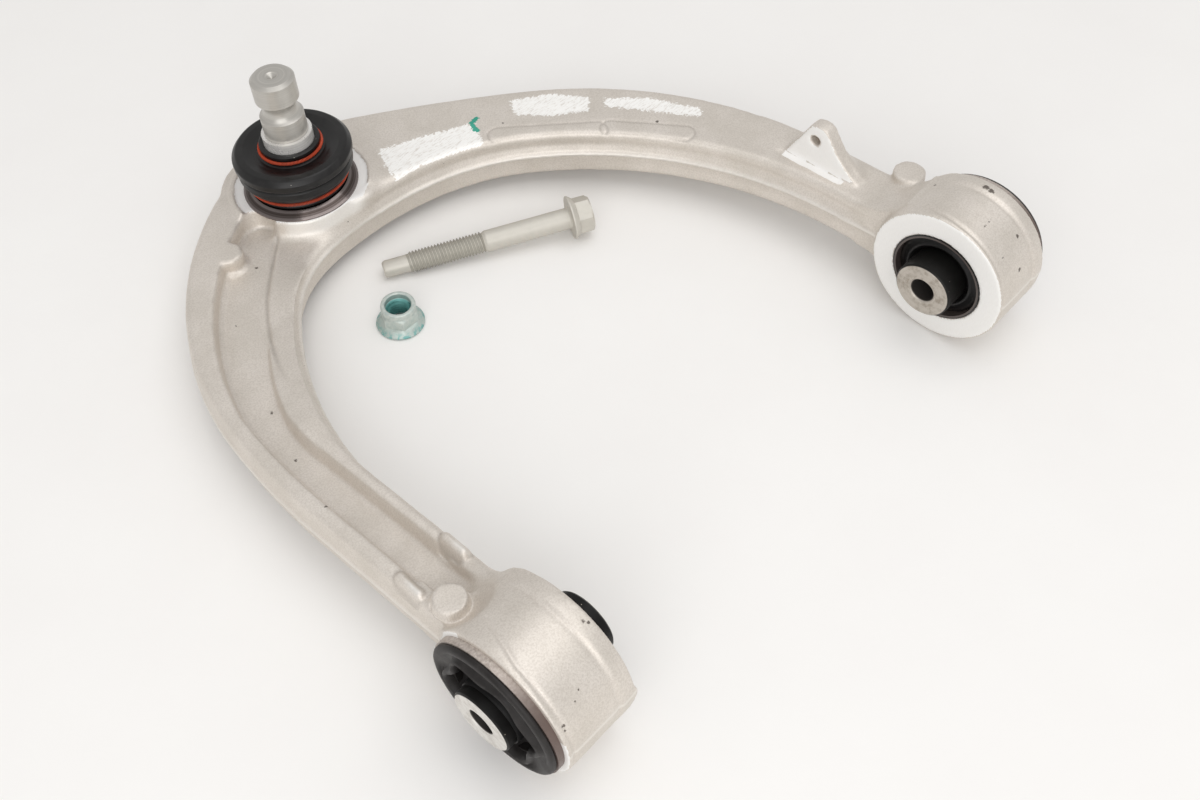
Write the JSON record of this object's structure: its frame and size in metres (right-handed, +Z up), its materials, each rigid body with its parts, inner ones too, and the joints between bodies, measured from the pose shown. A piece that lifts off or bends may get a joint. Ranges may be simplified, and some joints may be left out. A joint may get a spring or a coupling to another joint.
{
  "type": "control arm",
  "caption": "U-shaped forged upper control arm with two bushes on one pivot axis, a clamped ball joint under a dust boot, a sensor bracket tab, and its loose pinch bolt and nut.",
  "frame": {"origin": "middle of the front bush on the pivot axis through both bushes", "axes": "+X along the pivot axis from the front bush to the rear bush; +Y level, towards the ball joint; +Z up from the surface that the arm lies on, which it touches with both eyes and with the bottom of the ball joint"},
  "size_m": [0.3154, 0.316, 0.0891],
  "materials": {
    "forged_aluminium": "shot-blasted forging",
    "sleeve_steel": "plain steel",
    "bush_rubber": "matt black rubber",
    "core_steel": "machined steel",
    "housing_steel": "phosphated steel",
    "seat_polymer": "moulded acetal",
    "boot_rubber": "smooth black rubber",
    "ring_wire": "red lacquered spring wire",
    "stud_steel": "zinc-nickel plated",
    "bolt_steel": "zinc flake",
    "nut_steel": "zinc flake with a green tint"
  },
  "bodies": {
    "arm": {"arm_forging": "forged_aluminium", "front_bush_sleeve": "sleeve_steel", "front_bush_rubber": "bush_rubber", "rear_bush_sleeve": "sleeve_steel", "rear_bush_rubber": "bush_rubber", "joint_housing": "housing_steel", "ball_seat_upper": "seat_polymer", "ball_seat_lower": "seat_polymer", "seat_preload_ring": "bush_rubber", "closing_cap": "housing_steel", "retaining_ring": "sleeve_steel", "boot_lower_ring": "ring_wire"},
    "front_core": {"front_bush_core": "core_steel"},
    "rear_core": {"rear_bush_core": "core_steel"},
    "boot": {"dust_boot": "boot_rubber"},
    "collar": {"stud_collar": "stud_steel", "boot_upper_ring": "ring_wire"},
    "stud": {"ball_stud": "stud_steel"},
    "bolt": {"pinch_bolt": "bolt_steel"},
    "nut": {"pinch_nut": "nut_steel"}
  },
  "joints": [
    {"name": "front_bush_twist", "type": "hinge", "parent": "arm", "child": "front_core", "pos_m": [0, 0, 0], "axis": [1, 0, 0], "range_deg": [-25, 25], "stiffness_Nm_per_rad": 15},
    {"name": "rear_bush_twist", "type": "hinge", "parent": "arm", "child": "rear_core", "pos_m": [0.262, 0, 0], "axis": [1, 0, 0], "range_deg": [-25, 25], "stiffness_Nm_per_rad": 15},
    {"name": "stud_swing", "type": "hinge", "parent": "arm", "child": "boot", "pos_m": [0.102, 0.24564, -0.01345], "axis": [1, 0, 0], "range_deg": [-20, 20], "deforming": ["dust_boot"]},
    {"name": "stud_rock", "type": "hinge", "parent": "boot", "child": "collar", "pos_m": [0.102, 0.24564, -0.01345], "axis": [0, 0.998, -0.0628], "range_deg": [-8, 8]},
    {"name": "stud_turn", "type": "hinge", "parent": "collar", "child": "stud", "pos_m": [0.102, 0.24564, -0.01345], "axis": [0, 0.0628, 0.998], "range_deg": [-45, 45]},
    {"name": "bolt_lift", "type": "slide", "parent": "arm", "child": "bolt", "axis": [0, 0, 1], "range_m": [0, 0.1]},
    {"name": "nut_lift", "type": "slide", "parent": "arm", "child": "nut", "axis": [0, 0, 1], "range_m": [0, 0.1]}
  ]
}
